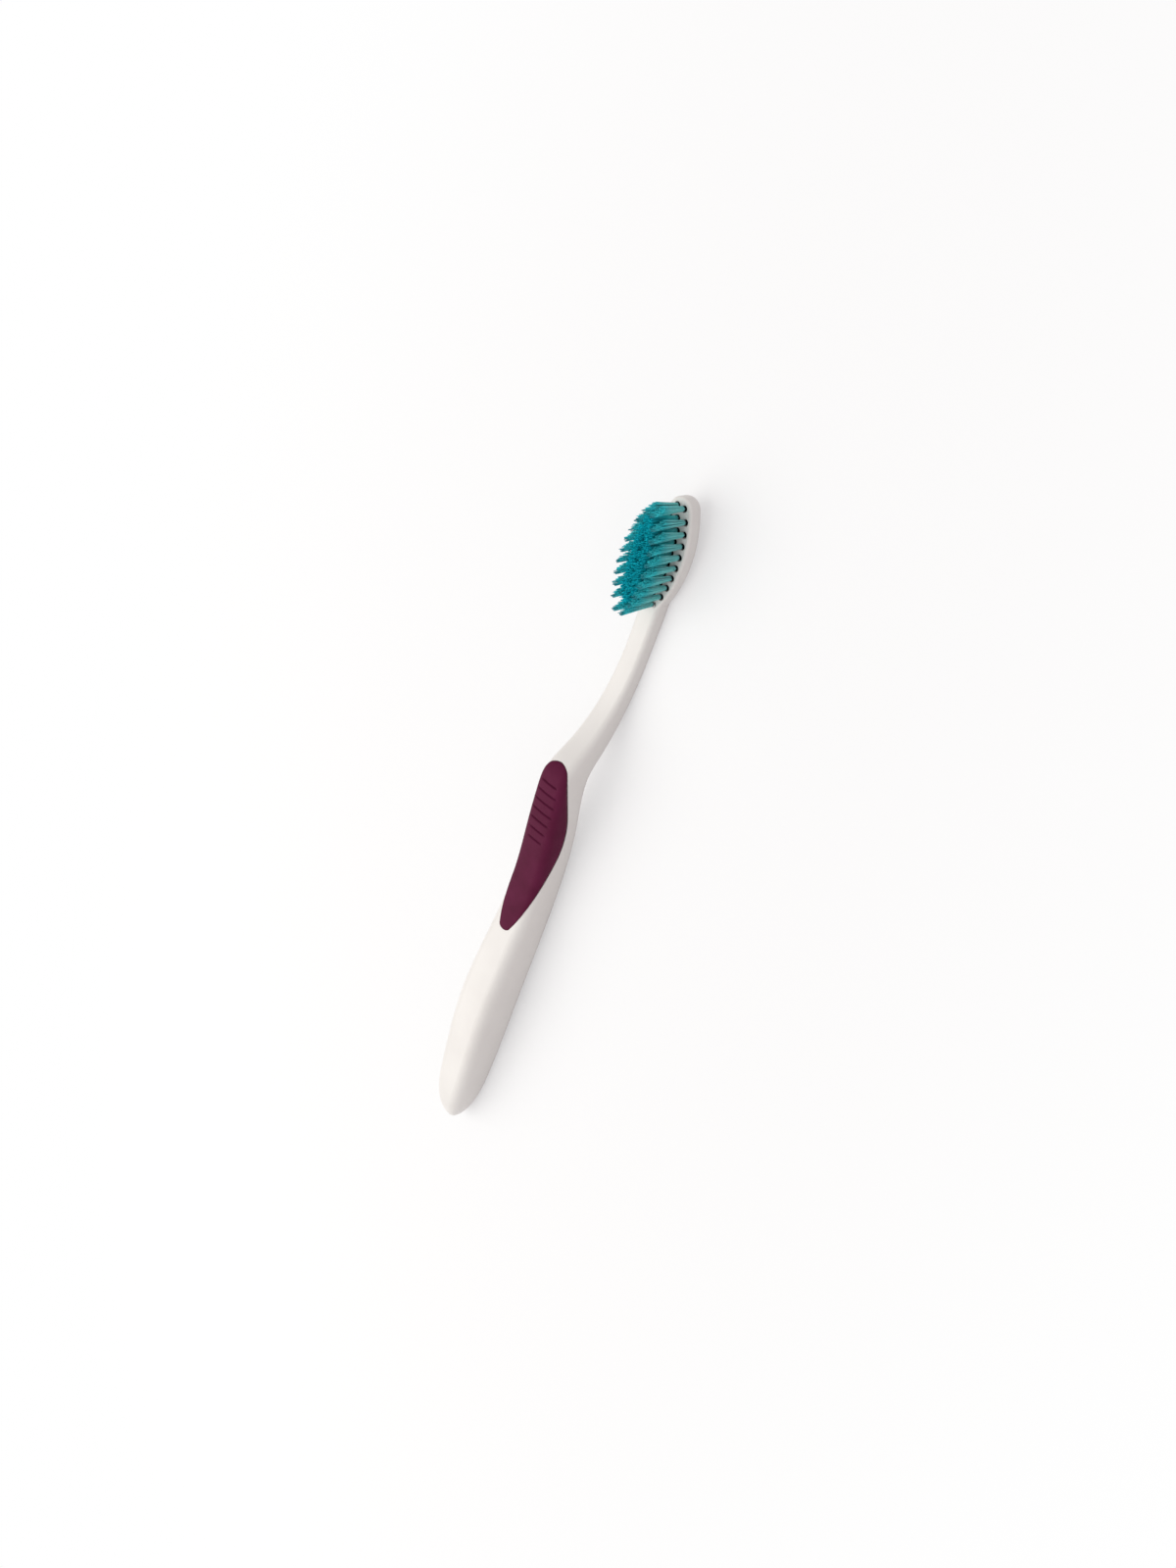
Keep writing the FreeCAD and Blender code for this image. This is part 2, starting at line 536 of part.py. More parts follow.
def make_grip_and_handle(blank, anchors):
    """The grip and the handle share the walls and the floor of the grip's pocket."""
    core = grip_layer("grip_core", CORE_SECTIONS, size("grip_depth"))
    skin = grip_layer("grip_skin", SECTIONS, "-sizes.grip_proud")
    pocket = boolean("Cut", "grip_pocket", grip_border(), core)
    plain_grip = boolean("Common", "plain_grip", skin, pocket)
    grip = boolean("Cut", "thumb_grip", plain_grip, make_grooves())
    pocketed = boolean("Cut", "pocketed_handle", blank, pocket)
    handle = boolean("Cut", "handle", pocketed, anchors)
    return grip, handle


# Tufts and anchors

ROOT_RADIUS = "(sizes.hole_diameter / 2 - sizes.tuft_clearance)"
ANCHOR_FOOT = "(sizes.anchor_lift - sizes.hole_depth)"


def anchor_plate(name):
    """One flat anchor."""
    plate = doc.addObject("Part::Box", name)
    bind(plate, Length="sizes.anchor_width * 1mm", Width="sizes.anchor_thick * 1mm",
         Height="sizes.anchor_height * 1mm")
    return plate


def make_anchors():
    """The anchors of all tufts, one separate plate each, along the head."""
    plates = []
    for line_number, index, _, along_head, across in tuft_places():
        plate = anchor_plate(f"anchor_{line_number:02d}_{index}")
        corner = (f"{along_head} - sizes.anchor_width / 2", f"{across} - sizes.anchor_thick / 2")
        bind_place(plate, "Placement", on_head(*corner, ANCHOR_FOOT), "-sizes.head_lean")
        plates.append(plate)
    group = doc.addObject("Part::Compound", "tuft_anchors")
    group.Links = plates
    return group


def bundle(name, length):
    """A bundle standing in its hole: a straight foot and a slightly spreading brush."""
    foot = doc.addObject("Part::Cylinder", f"{name}_foot")
    foot_depth = "(sizes.hole_depth - sizes.tuft_clearance)"
    bind(foot, Radius=f"{ROOT_RADIUS} * 1mm", Height=f"{foot_depth} * 1mm")
    bind_place(foot, "Placement", ("0", "0", f"-{foot_depth}"))
    brush = doc.addObject("Part::Cone", f"{name}_brush")
    bind(brush, Radius1=f"{ROOT_RADIUS} * 1mm", Radius2="sizes.tuft_tip_radius * 1mm",
         Height=f"{length} * 1mm")
    return boolean("Fuse", name, foot, brush)


def chiselled(name, plain, length):
    """A bundle whose tip is cut at a slant, longest towards the tail, where a narrow land is left."""
    blade = doc.addObject("Part::Box", f"{name}_blade")
    bind(blade, Length=f"(2 * sizes.tuft_tip_radius + {length}) * 1mm", Height=f"{length} * 1mm",
         Width="4 * sizes.tuft_tip_radius * 1mm")
    place = ("sizes.chisel_land - sizes.tuft_tip_radius", "-2 * sizes.tuft_tip_radius", length)
    bind_place(blade, "Placement", place, "sizes.chisel_angle")
    return boolean("Cut", name, plain, blade)


def make_tufts():
    """A node for every tuft, pierced by its anchor: outer ones chiselled, inner ones cut square."""
    outer_plain = bundle("outer_bundle", size("outer_length"))
    outer_form = chiselled("outer_form", outer_plain, size("outer_length"))
    inner_form = bundle("inner_form", size("inner_length"))
    window = anchor_plate("anchor_window")
    bind_place(window, "Placement", ("-sizes.anchor_width / 2", "-sizes.anchor_thick / 2", ANCHOR_FOOT))
    tufts = []
    for line_number, index, outer, along_head, across in tuft_places():
        name = f"tuft_{line_number:02d}_{index}"
        tuft = boolean("Cut", name, outer_form if outer else inner_form, window)
        bind_place(tuft, "Placement", on_head(along_head, across), "-sizes.head_lean")
        tufts.append(tuft)
    return tufts


def check(nodes):
    """Stops if anything in the document failed, or a node's shape is empty or invalid."""
    for item in doc.Objects:
        if {"Invalid", "Error"} & set(item.State):
            raise RuntimeError(f"{item.Name} failed: {item.State}")
    for node in nodes:
        if node.Shape.isNull() or not node.Shape.isValid() or not node.Shape.Solids:
            raise RuntimeError(f"{node.Label} has no valid shape")


blank = make_handle_blank()
anchors = make_anchors()
thumb_grip, handle = make_grip_and_handle(blank, anchors)
nodes = [handle, thumb_grip, anchors] + make_tufts()
doc.recompute()
check(nodes)

os.makedirs("parts", exist_ok=True)
for node in nodes:
    node.Shape.exportStep(f"parts/{node.Label}.step")
    print(node.Label, len(node.Shape.Solids), round(node.Shape.Volume, 2))
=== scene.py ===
import math
import random
from typing import NamedTuple

import bpy
import numpy as np
from mathutils import Matrix, Vector
from mathutils.bvhtree import BVHTree


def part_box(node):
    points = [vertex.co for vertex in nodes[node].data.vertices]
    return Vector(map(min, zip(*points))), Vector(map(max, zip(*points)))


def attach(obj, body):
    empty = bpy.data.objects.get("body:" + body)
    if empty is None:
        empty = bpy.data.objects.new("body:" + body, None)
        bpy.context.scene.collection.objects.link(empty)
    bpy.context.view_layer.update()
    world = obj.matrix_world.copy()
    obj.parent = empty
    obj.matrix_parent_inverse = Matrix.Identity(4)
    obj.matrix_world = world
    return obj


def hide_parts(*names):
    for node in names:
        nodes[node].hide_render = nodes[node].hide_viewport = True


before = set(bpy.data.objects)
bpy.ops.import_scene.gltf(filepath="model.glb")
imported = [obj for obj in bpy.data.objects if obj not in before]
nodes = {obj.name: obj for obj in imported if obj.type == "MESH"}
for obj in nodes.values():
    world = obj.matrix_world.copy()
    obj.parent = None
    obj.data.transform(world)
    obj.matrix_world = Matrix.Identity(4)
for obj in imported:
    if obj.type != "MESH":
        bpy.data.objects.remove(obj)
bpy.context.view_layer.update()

# Manual toothbrush: the handle keeps its CAD solid, and the soft grip and the tufts get their own meshes.
# Lengths of the object are in millimetres until a mesh is made, and those of shaders and stage in metres.
# The brush lies along x, on its back, and distances along it are from its tail.
MM = 0.001
TAIL_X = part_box("handle")[0][0] / MM
scene = bpy.context.scene


# Meshes and materials

def add_piece(name, points, faces, node, slot, material, uvs=None):
    """A smooth mesh, given in millimetres, that stands for a CAD node."""
    mesh = bpy.data.meshes.new(name)
    mesh.from_pydata((np.asarray(points) * MM).tolist(), [], faces)
    mesh.polygons.foreach_set("use_smooth", [True] * len(mesh.polygons))
    if uvs is not None:
        layer = mesh.uv_layers.new(name="strand")
        corners = np.empty(len(mesh.loops), dtype=np.int32)
        mesh.loops.foreach_get("vertex_index", corners)
        layer.data.foreach_set("uv", np.asarray(uvs, dtype=np.float32)[corners].ravel())
    mesh.materials.append(material)
    piece = bpy.data.objects.new(name, mesh)
    scene.collection.objects.link(piece)
    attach(piece, "root")
    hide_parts(node)


def paint(node, material):
    """Gives a CAD node that stays in view its material."""
    node.data.materials.clear()
    node.data.materials.append(material)


class Shader:
    """A node material under construction, around one Principled shader."""

    def __init__(self, name):
        self.material = bpy.data.materials.new(name)
        self.material.use_nodes = True
        self.tree = self.material.node_tree
        self.principled = self.tree.nodes["Principled BSDF"]
        self.output = self.tree.nodes["Material Output"]

    def node(self, kind, **inputs):
        """A node whose inputs are set to values or linked to other nodes' outputs."""
        made = self.tree.nodes.new(f"ShaderNode{kind}")
        for name, given in inputs.items():
            self.feed(made.inputs[name.replace("_", " ")], given)
        return made

    def feed(self, socket, given):
        """Sets a socket to a value or links it to an output."""
        if isinstance(given, bpy.types.NodeSocket):
            self.tree.links.new(given, socket)
        else:
            socket.default_value = given

    def set(self, **inputs):
        """Sets inputs of the Principled shader."""
        for name, given in inputs.items():
            self.feed(self.principled.inputs[name.replace("_", " ")], given)

    def place(self):
        """Coordinates in the row frame."""
        return self.node("TexCoord").outputs["Object"]

    def noise(self, scale, detail=2.0):
        """Noise with that many features per metre."""
        return self.node("TexNoise", Vector=self.place(), Scale=scale, Detail=detail).outputs["Fac"]

    def math(self, operation, first, second):
        """The result of a Math node."""
        made = self.node("Math")
        made.operation = operation
        self.feed(made.inputs[0], first)
        self.feed(made.inputs[1], second)
        return made.outputs["Value"]

    def ramp(self, factor, *stops):
        """Colours along a factor, given as (position, colour)."""
        made = self.node("ValToRGB", Fac=factor)
        elements = made.color_ramp.elements
        while len(elements) < len(stops):
            elements.new(1.0)
        for element, (position, colour) in zip(elements, stops):
            element.position = position
            element.color = (*colour, 1.0)
        return made.outputs["Color"]

    def multiply(self, first, second):
        """The product of two colours."""
        made = self.node("Mix", Factor=1.0)
        made.data_type, made.blend_type = "RGBA", "MULTIPLY"
        factors = [socket for socket in made.inputs if socket.name in "AB" and socket.type == "RGBA"]
        for socket, colour in zip(factors, (first, second)):
            self.feed(socket, colour)
        return next(socket for socket in made.outputs if socket.type == "RGBA")

    def spread(self, factor, low, high):
        """A factor from 0 to 1 spread between two values."""
        return self.node("MapRange", Value=factor, To_Min=low, To_Max=high).outputs["Result"]

    def blend(self, factor, surface):
        """Blends the Principled shader with another surface."""
        mix = self.node("MixShader", Fac=factor)
        self.feed(mix.inputs[1], self.principled.outputs["BSDF"])
        self.feed(mix.inputs[2], surface)
        self.feed(self.output.inputs["Surface"], mix.outputs["Shader"])

    def soft_edges(self, radius):
        """A normal that rounds sharp edges by a radius."""
        made = self.node("Bevel", Radius=radius)
        made.samples = 6
        return made.outputs["Normal"]

    def bump(self, height, distance, normal=None):
        """A normal bumped by a height that spans a distance."""
        made = self.node("Bump", Height=height, Distance=distance, Strength=1.0)
        if normal is not None:
            self.feed(made.inputs["Normal"], normal)
        return made.outputs["Normal"]


def handle_material():
    """Glossy off-white moulding, with softened edges and the faint unevenness of moulded polypropylene."""
    shader = Shader("handle_moulding")
    cloud = shader.noise(70.0, 3.0)
    shader.set(
        Base_Color=shader.ramp(cloud, (0.3, (0.885, 0.852, 0.812)), (0.7, (0.925, 0.897, 0.855))),
        Roughness=shader.spread(shader.noise(900.0, 4.0), 0.26, 0.40),
        Specular_IOR_Level=0.42,
        Normal=shader.bump(shader.noise(2500.0), 0.004 * MM, shader.soft_edges(0.35 * MM)),
    )
    return shader.material


def grip_material():
    """Satin burgundy elastomer, mottled very finely."""
    shader = Shader("grip_elastomer")
    cloud = shader.noise(220.0, 4.0)
    grain = shader.noise(9000.0)
    shader.set(
        Base_Color=shader.ramp(cloud, (0.3, (0.096, 0.0075, 0.034)), (0.7, (0.120, 0.011, 0.046))),
        Roughness=shader.spread(grain, 0.50, 0.66),
        Specular_IOR_Level=0.10,
        Normal=shader.bump(grain, 0.008 * MM),
    )
    return shader.material


def bristle_material(name, root, middle, deep, tip):
    """Translucent nylon filaments: painted shade, nearly black, on their part inside the hole; coloured
    along, differing from strand to strand.
    """
    shader = Shader(name)
    strand = shader.node("UVMap")
    strand.uv_map = "strand"
    split = shader.node("SeparateXYZ", Vector=strand.outputs["UV"])
    # painted shade: the strands are coloured nearly black where they sit in the hole, standing in for the
    # hole's dark interior
    sunk = (0.004, 0.03, 0.035)
    along = shader.ramp(
        split.outputs["Y"], (0.0, sunk), (0.01, sunk), (0.05, root), (0.18, root),
        (0.45, middle), (0.70, deep), (0.86, deep), (0.97, tip))
    shade = shader.ramp(
        split.outputs["X"], (0.0, (0.80, 0.83, 0.86)), (0.5, (0.97, 0.98, 0.99)), (1.0, (1.0, 1.0, 1.0)))
    colour = shader.multiply(along, shade)
    shader.set(Base_Color=colour, Roughness=0.35, Specular_IOR_Level=0.25)
    shader.blend(0.70, shader.node("BsdfTranslucent", Color=colour).outputs["BSDF"])
    return shader.material


def outer_nylon():
    """Teal filaments of the outer row, pale at the root and greyer at the tip."""
    return bristle_material(
        "outer_nylon", root=(0.51, 0.95, 0.93), middle=(0.51, 0.97, 0.96),
        deep=(0.18, 0.88, 0.90), tip=(0.15, 0.54, 0.58))


def inner_nylon():
    """Deeper blue filaments inside."""
    return bristle_material(
        "inner_nylon", root=(0.30, 0.95, 0.95), middle=(0.12, 0.93, 0.95),
        deep=(0.04, 0.79, 0.84), tip=(0.035, 0.73, 0.79))


def anchor_material():
    """Cut brass strip with fine drawing lines."""
    shader = Shader("anchor_brass")
    lines = shader.node("TexWave", Vector=shader.place(), Scale=4000.0, Distortion=1.5).outputs["Fac"]
    shader.set(
        Base_Color=shader.ramp(lines, (0.0, (0.55, 0.40, 0.15)), (1.0, (0.66, 0.50, 0.20))),
        Metallic=1.0,
        Roughness=shader.spread(lines, 0.28, 0.42),
    )
    return shader.material


# Thumb grip
#
# The grip's border lies, on each side, in a plane slanted by 45 degrees: level = (height + y) / sqrt(2).
# In that plane it is a chain of tangent pieces, and the CAD solid has the same one: a small arc at the foot,
# a wide arc, a lobe over the flank, a straight rise and a small arc at the top.

SLANT = math.sqrt(2)
FOOT_STATION, WAIST_STATION, SHOULDER_STATION = 68.0, 84.0, 117.0
FOOT_FRONT, WAIST_BACK, SHOULDER_FRONT = 13.0, 1.55, 15.95
FOOT_INSET, TOP_REACH, TOP_DROP, LOBE_SHIFT, LOBE_RISE = 0.7, 3.0, 0.5, 11.7, 1.28
GRIP_FOOT, GRIP_TOP = FOOT_STATION + FOOT_INSET, SHOULDER_STATION + TOP_REACH
FOOT_RADIUS, SIDE_RADIUS, LOBE_RADIUS, TOP_RADIUS = 1.45, 100.0, 32.3, 2.6
FOOT_CENTRE = (GRIP_FOOT + FOOT_RADIUS, FOOT_FRONT / SLANT)
LOBE_CENTRE = (WAIST_STATION + LOBE_SHIFT, WAIST_BACK / SLANT + LOBE_RISE + LOBE_RADIUS)
TOP_CENTRE = (GRIP_TOP - TOP_RADIUS, SHOULDER_FRONT / SLANT - TOP_DROP)
GRIP_PROUD, GRIP_DEPTH = 0.25, 1.7
GRIP_GAP = 0.05
LEAST_THICKNESS = 0.02

GROOVE_PITCH, GROOVE_FIRST, GROOVE_LENGTH = 2.82, 114.0, 7.4
GROOVE_SHARES = (0.75, 0.95, 1.0, 1.0, 0.9, 0.8, 0.7)
GROOVE_HALF_WIDTH, GROOVE_DEPTH, GROOVE_RUNOUT = 0.42, 0.48, 0.7

# columns of the grip's mesh along the brush, and rows across it, which crowd at the rounded rim
END_SEARCH, END_COLUMNS, GROOVE_COLUMNS = 2001, 14, 24
BELLY_STEP, NECK_STEP = 0.5, 0.3
BELLY_START, COLUMN_ROOM = 0.4, 0.2
INNER_ROWS = 16
RIM_RADIUS, RIM_BAND = 0.55, 0.66
RIM_SHARES = np.array([0, 0.06, 0.16, 0.3, 0.48, 0.7, 1.0])


def circle_meeting(first, first_radius, second, second_radius):
    """The upper point at the two given distances from two centres."""
    span = math.dist(first, second)
    reach = (span ** 2 + first_radius ** 2 - second_radius ** 2) / (2 * span)
    rise = math.sqrt(first_radius ** 2 - reach ** 2)
    along, up = (second[0] - first[0]) / span, (second[1] - first[1]) / span
    sides = [(first[0] + reach * along - side * rise * up, first[1] + reach * up + side * rise * along)
             for side in (1, -1)]
    return max(sides, key=lambda point: point[1])


def border_level(along, gap):
    """The border's level in its slanted plane at distances from the tail, drawn in by a gap."""
    foot, lobe, top = FOOT_CENTRE, LOBE_CENTRE, TOP_CENTRE
    side = circle_meeting(foot, SIDE_RADIUS - FOOT_RADIUS, lobe, SIDE_RADIUS - LOBE_RADIUS)
    climb = math.atan2(top[1] - lobe[1], top[0] - lobe[0])
    climb += math.asin((LOBE_RADIUS - TOP_RADIUS) / math.dist(lobe, top))
    levels = np.full(len(along), np.nan)

    def arc(centre, radius, start, end):
        inside = (along >= start) & (along <= end)
        reach = np.clip((radius - gap) ** 2 - (along[inside] - centre[0]) ** 2, 0.0, None)
        levels[inside] = centre[1] - np.sqrt(reach)

    def side_join(centre, radius):
        return side[0] + (centre[0] - side[0]) / (SIDE_RADIUS - radius) * (SIDE_RADIUS - gap)

    def rise_join(centre, radius):
        return centre[0] + (radius - gap) * math.sin(climb), centre[1] - (radius - gap) * math.cos(climb)

    foot_join, lobe_join = side_join(foot, FOOT_RADIUS), side_join(lobe, LOBE_RADIUS)
    rise_start, rise_end = rise_join(lobe, LOBE_RADIUS), rise_join(top, TOP_RADIUS)
    arc(foot, FOOT_RADIUS, GRIP_FOOT, foot_join)
    arc(side, SIDE_RADIUS, foot_join, lobe_join)
    arc(lobe, LOBE_RADIUS, lobe_join, rise_start[0])
    straight = (along >= rise_start[0]) & (along <= rise_end[0])
    levels[straight] = rise_start[1] + (along[straight] - rise_start[0]) * math.tan(climb)
    arc(top, TOP_RADIUS, rise_end[0], GRIP_TOP)
    return levels


def surface_of(node):
    """A CAD node's surface, in millimetres, for casting rays on."""
    points = [v.co / MM for v in node.data.vertices]
    return BVHTree.FromPolygons(points, [tuple(face.vertices) for face in node.data.polygons])


class GripSkin:
    """The outer face of the CAD grip without its grooves, carried on past its border over the handle.

    At stations between the grooves, rays are cast on the CAD surfaces towards a line inside the handle.
    Between the stations the skin is a smooth curve.
    """
    TURNS = np.radians(np.linspace(0, 125, 64))
    CORE = 5.0
    RAY_START, RAY_TOP = 20.0, 30.0
    BORDER_ROOM = 0.04
    BEFORE_FOOT = 2.0
    PAST_SHOULDER = (0.0, 1.4, 2.4, 4.0, 5.5)
    NORMAL_STEP = 0.02

    def __init__(self):
        grip, handle = surface_of(nodes["thumb_grip"]), surface_of(nodes["handle"])
        first = GROOVE_FIRST + GROOVE_PITCH / 2
        count = int((first - GRIP_FOOT) / GROOVE_PITCH) + 1
        between = [first - GROOVE_PITCH * n for n in range(count, -1, -1)]
        past = [SHOULDER_STATION + distance for distance in self.PAST_SHOULDER]
        self.stations = np.array([GRIP_FOOT - self.BEFORE_FOOT, *between, *past])
        levels = border_level(self.stations, 0.0)
        rows = [self.row(x, level, grip, handle) for x, level in zip(self.stations, levels)]
        self.centres = np.array([centre for centre, _ in rows])
        self.radii = np.array([radii for _, radii in rows])

    def row(self, along, level, grip, handle):
        """The centre height and the radii over the turns at one station."""
        def cast(surface, start, way):
            point, normal, _, _ = surface.ray_cast(Vector(start), Vector(way))
            return point, normal

        x = along + TAIL_X
        inside = np.isfinite(level)
        top, _ = cast(grip if inside else handle, (x, 0, self.RAY_TOP), (0, 0, -1))
        centre = top.z + (0 if inside else GRIP_PROUD) - self.CORE
        turns, radii = [0.0], [self.CORE]
        for turn in self.TURNS[1:]:
            way = Vector((0, -math.sin(turn), math.cos(turn)))
            start = Vector((x, 0, centre)) + way * self.RAY_START
            for surface, proud, sign in ((grip, 0, 1), (handle, GRIP_PROUD, -1)):
                point, normal = cast(surface, start, -way)
                if point is None:
                    continue
                clear = (point.z + point.y) / SLANT - level if inside else -1.0
                if sign * clear > self.BORDER_ROOM:
                    point = point + normal * proud
                    turns.append(math.atan2(-point.y, point.z - centre))
                    radii.append(math.hypot(point.y, point.z - centre))
                    break
        order = np.argsort(turns)
        return centre, np.interp(self.TURNS, np.array(turns)[order], np.array(radii)[order])

    def along_brush(self, values, along):
        """Values of the stations as smooth curves along the brush, with slopes from the neighbours."""
        slopes = np.gradient(values, self.stations, axis=0)
        index = np.clip(np.searchsorted(self.stations, along) - 1, 0, len(self.stations) - 2)
        span = self.stations[index + 1] - self.stations[index]
        share = (along - self.stations[index]) / span
        if values.ndim == 2:
            span, share = span[:, None], share[:, None]
        rest = 1 - share
        return ((1 + 2 * share) * rest ** 2 * values[index] + share * rest ** 2 * span * slopes[index]
                + share ** 2 * (1 + 2 * rest) * values[index + 1]
                - share ** 2 * rest * span * slopes[index + 1])

    def profiles(self, along):
        """Y and height over the turns, for each distance along the brush: one row each."""
        centres, radii = self.along_brush(self.centres, along), self.along_brush(self.radii, along)
        return -radii * np.sin(self.TURNS), centres[:, None] + radii * np.cos(self.TURNS)

    def points(self, along, turns):
        """Points of the skin at a row of turns, of either sign, for each distance along the brush."""
        y, z = (
            np.array([np.interp(np.abs(row), self.TURNS, curve) for row, curve in zip(turns, curves)])
            for curves in self.profiles(along))
        x = np.broadcast_to(along[:, None] + TAIL_X, y.shape)
        return np.stack([x, y * np.sign(turns), z], axis=2)

    def normals(self, along, turns):
        """The skin's outward normals at the same places."""
        step = self.NORMAL_STEP
        by_along = self.points(along + step, turns) - self.points(along - step, turns)
        by_turn = self.points(along, turns + step) - self.points(along, turns - step)
        normals = np.cross(by_along, -by_turn)
        return normals / np.linalg.norm(normals, axis=2, keepdims=True)


def grip_columns(skin):
    """Distances from the tail of the mesh's columns, close to each other at the ends and over grooves."""
    along = np.linspace(GRIP_FOOT + GRIP_GAP, GRIP_TOP - GRIP_GAP, END_SEARCH)
    front = skin.along_brush(skin.centres, along) + skin.CORE
    inside = along[front / SLANT > border_level(along, GRIP_GAP)]
    round_end = 1 - np.cos(np.linspace(0, math.pi / 2, END_COLUMNS))
    groove_start = GROOVE_FIRST - GROOVE_PITCH * (len(GROOVE_SHARES) - 0.5)
    groove_end = GROOVE_FIRST + GROOVE_PITCH / 2
    foot = inside[0] + (FOOT_RADIUS - GRIP_GAP) * round_end
    top = inside[-1] - (TOP_RADIUS - GRIP_GAP) * round_end[::-1]
    belly = np.arange(foot[-1] + BELLY_START, groove_start - COLUMN_ROOM, BELLY_STEP)
    grooves = np.linspace(groove_start, groove_end, GROOVE_COLUMNS * len(GROOVE_SHARES) + 1)
    neck = np.arange(groove_end + COLUMN_ROOM, top[0] - COLUMN_ROOM, NECK_STEP)
    return np.concatenate([foot, belly, grooves, neck, top])


def half_widths(skin, along, levels):
    """The skin's length from its middle to the border in each column, and its lengths at the turns."""
    y, z = skin.profiles(along)
    steps = np.hypot(np.diff(y), np.diff(z))
    lengths = np.concatenate([np.zeros((len(along), 1)), np.cumsum(steps, axis=1)], axis=1)
    half = np.zeros(len(along))
    for column, clear in enumerate((y + z) / SLANT - levels[:, None]):
        outside = np.argmax(clear < 0)
        if outside:
            across = [outside, outside - 1]
            half[column] = np.interp(0, clear[across], lengths[column, across])
    return half, lengths


def reach_across(half):
    """How far each column's points lie from the middle, measured on the skin."""
    rim = np.minimum(RIM_BAND, half / 2)[:, None]
    inner = np.linspace(0, 1, INNER_ROWS + 1)[:-1] * (half[:, None] - rim)
    rounded = half[:, None] - rim * RIM_SHARES[::-1]
    reach = np.concatenate([inner, rounded], axis=1)
    return np.concatenate([-reach[:, :0:-1], reach], axis=1)


def border_distance(along, half, reach):
    """How far points are from the border, measured on the skin."""
    border = np.concatenate([np.column_stack([along, half]), np.column_stack([along, -half])])
    place = np.stack([np.broadcast_to(along[:, None], reach.shape), reach], axis=2)
    return np.array([np.min(np.linalg.norm(row[:, None] - border, axis=2), axis=1) for row in place])


def rim_drop(to_border):
    """How far the rounded rim lies below the skin."""
    share = 1 - np.clip(to_border / RIM_RADIUS, 0, 1)
    return GRIP_PROUD * (1 - np.sqrt(1 - share ** 2))


def groove_depths(along, across):
    """How deep the cross grooves are at points given along and across the brush."""
    depth = np.zeros_like(across)
    for number, share in enumerate(GROOVE_SHARES):
        from_middle = np.abs(along - (GROOVE_FIRST - GROOVE_PITCH * number)) / GROOVE_HALF_WIDTH
        to_end = np.clip((GROOVE_LENGTH * share / 2 - np.abs(across)) / GROOVE_RUNOUT, 0.0, 1.0)
        profile = np.cos(np.clip(from_middle, 0, 1) * math.pi / 2) ** 2
        depth += GROOVE_DEPTH * profile * np.sin(to_end * math.pi / 2)
    return depth


def pocket_depth(points, normals, levels, to_border):
    """How far below the skin the hidden face may lie, in a pocket whose walls slant inwards."""
    used_share, least_slope, rim_slope = 0.8, 0.05, 2.0
    room = points[..., 2] - np.abs(points[..., 1]) - SLANT * levels[:, None]
    slope = normals[..., 2] - np.abs(normals[..., 1])
    to_wall = np.where(slope > least_slope, used_share * room / np.maximum(slope, least_slope), GRIP_DEPTH)
    return np.minimum(np.minimum(to_wall, GRIP_DEPTH), GRIP_PROUD + rim_slope * to_border)


def closed_sheet(outer, under):
    """Points and faces of two grids that share their rim."""
    columns, rows = outer.shape[:2]
    rim = np.zeros((columns, rows), dtype=bool)
    rim[[0, -1], :] = True
    rim[:, [0, -1]] = True
    upper = np.arange(columns * rows).reshape(columns, rows)
    lower = upper.copy()
    lower[~rim] = columns * rows + np.arange((~rim).sum())
    points = np.concatenate([outer.reshape(-1, 3), under[~rim]])
    faces = []
    for c in range(columns - 1):
        for r in range(rows - 1):
            faces.append((upper[c, r], upper[c, r + 1], upper[c + 1, r + 1], upper[c + 1, r]))
            if not rim[c:c + 2, r:r + 2].all():
                faces.append((lower[c, r], lower[c + 1, r], lower[c + 1, r + 1], lower[c, r + 1]))
    return points, [tuple(int(i) for i in face) for face in faces]


def make_grip():
    """The grip as one closed mesh: a proud, round-edged skin with grooves, and a face in the pocket."""
    skin = GripSkin()
    along = grip_columns(skin)
    levels = border_level(along, GRIP_GAP)
    half, lengths = half_widths(skin, along, levels)
    reach = reach_across(half)
    turns = np.array([np.interp(np.abs(row), at, skin.TURNS) for row, at in zip(reach, lengths)])
    turns *= np.sign(reach)
    points, normals = skin.points(along, turns), skin.normals(along, turns)
    to_border = border_distance(along, half, reach)
    sunk = rim_drop(to_border) + groove_depths(along[:, None], points[..., 1])
    depth = np.maximum(pocket_depth(points, normals, levels, to_border), sunk + LEAST_THICKNESS)
    return closed_sheet(points - normals * sunk[..., None], points - normals * depth[..., None])


# Bristle tufts
#
# Places are along, across and out of the head's face, as those of the CAD tufts are.

HEAD_LEAN = math.radians(5.3)
HEAD_THICK, ROOT_ALONG, ROOT_HEIGHT, ROOT_TO_HEAD = 4.3, 162.0, 2.5, 13.8
HEAD_X = TAIL_X + ROOT_ALONG + ROOT_TO_HEAD
HEAD_Z = (ROOT_HEIGHT + HEAD_THICK / 2 * math.cos(HEAD_LEAN)
          + (ROOT_TO_HEAD + HEAD_THICK / 2 * math.sin(HEAD_LEAN)) * math.tan(HEAD_LEAN))
TUFTS_IN_LINE = (2, 3, 4, 4, 4, 4, 4, 4, 3, 2)
LINE_REACH_SHARES = (0.28, 0.64, 0.82, 0.94, 1.0, 1.0, 0.94, 0.82, 0.64, 0.28)
TUFT_PITCH, FIELD_HALF_WIDTH, FIELD_SHIFT = 2.7, 4.0, 0.5

